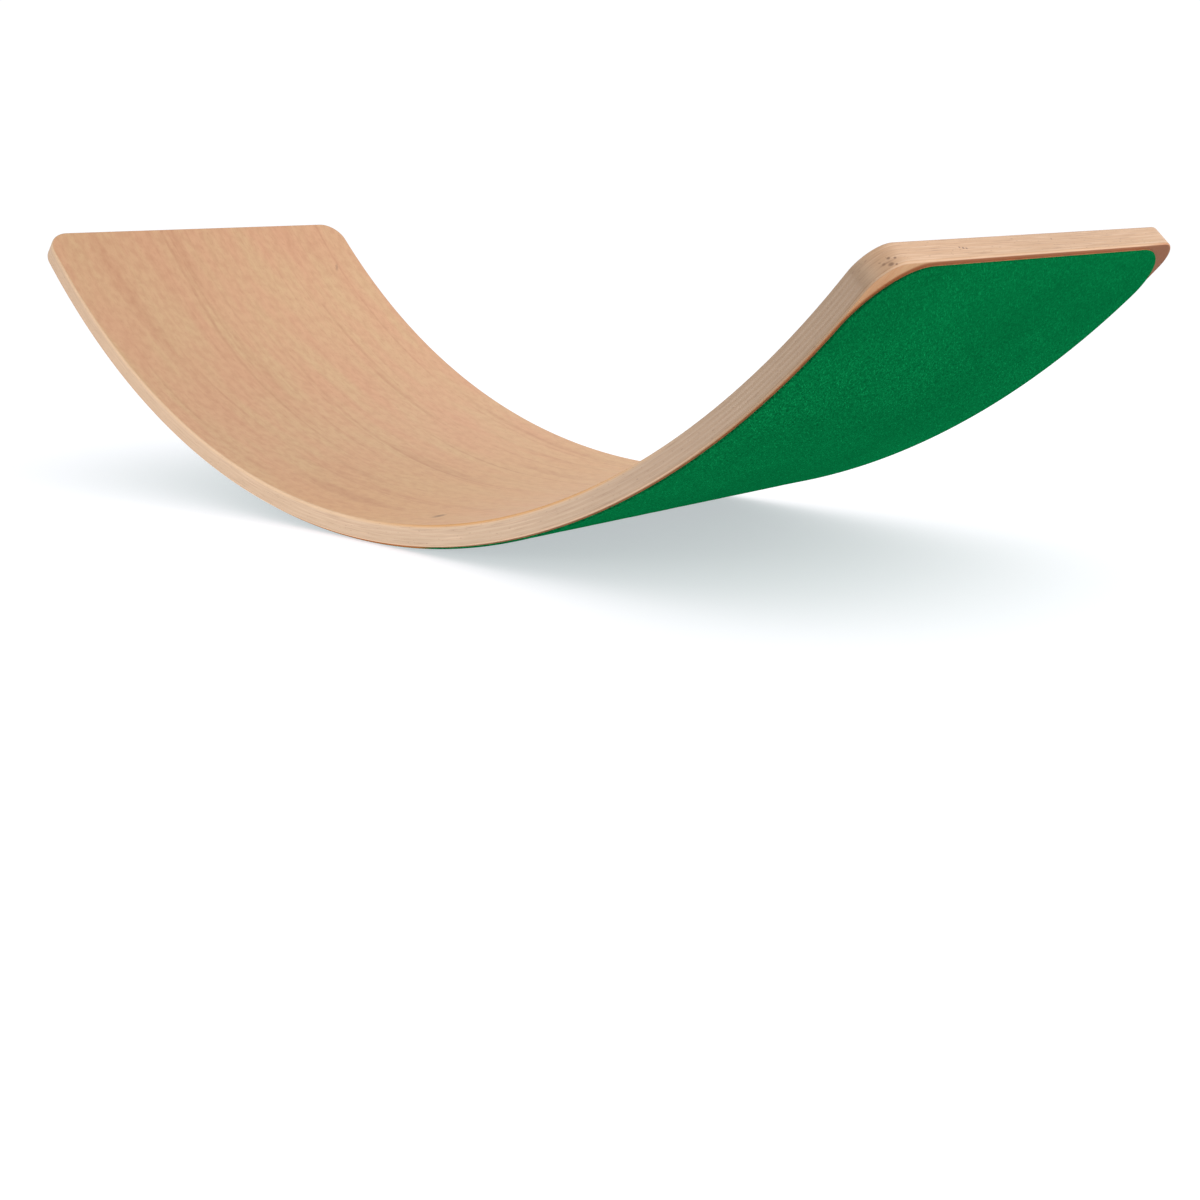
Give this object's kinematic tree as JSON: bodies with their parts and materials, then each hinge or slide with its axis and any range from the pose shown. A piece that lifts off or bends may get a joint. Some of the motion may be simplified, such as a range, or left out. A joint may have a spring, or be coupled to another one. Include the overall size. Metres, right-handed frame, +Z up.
{
  "type": "curvy balance board",
  "caption": "Curved rocking balance board for play: moulded plywood bent to a shallow arc with rounded corners, and felt glued to its outer face.",
  "frame": {"origin": "middle of the line along which the felt meets the floor, with the board lying as a cradle", "axes": "+X along the board, +Y across it, +Z up out of the hollow side"},
  "size_m": [0.8764, 0.3, 0.2072],
  "materials": {
    "face_veneer": "smooth beech veneer with a thin matt lacquer, grain along the board",
    "long_veneer": "sanded beech veneer edge, grain along the board",
    "cross_veneer": "sanded beech veneer edge, grain across the board",
    "felt_film": "dark brown adhesive film",
    "felt": "dense green felt with a short fibrous nap"
  },
  "bodies": {
    "root": {"inner_face_veneer": "face_veneer", "core_veneer_1": "cross_veneer", "core_veneer_2": "long_veneer", "core_veneer_3": "cross_veneer", "core_veneer_4": "long_veneer", "core_veneer_5": "cross_veneer", "core_veneer_6": "long_veneer", "core_veneer_7": "cross_veneer", "core_veneer_8": "long_veneer", "core_veneer_9": "cross_veneer", "outer_face_veneer": "face_veneer", "felt_film": "felt_film", "felt_cover": "felt"}
  },
  "joints": []
}
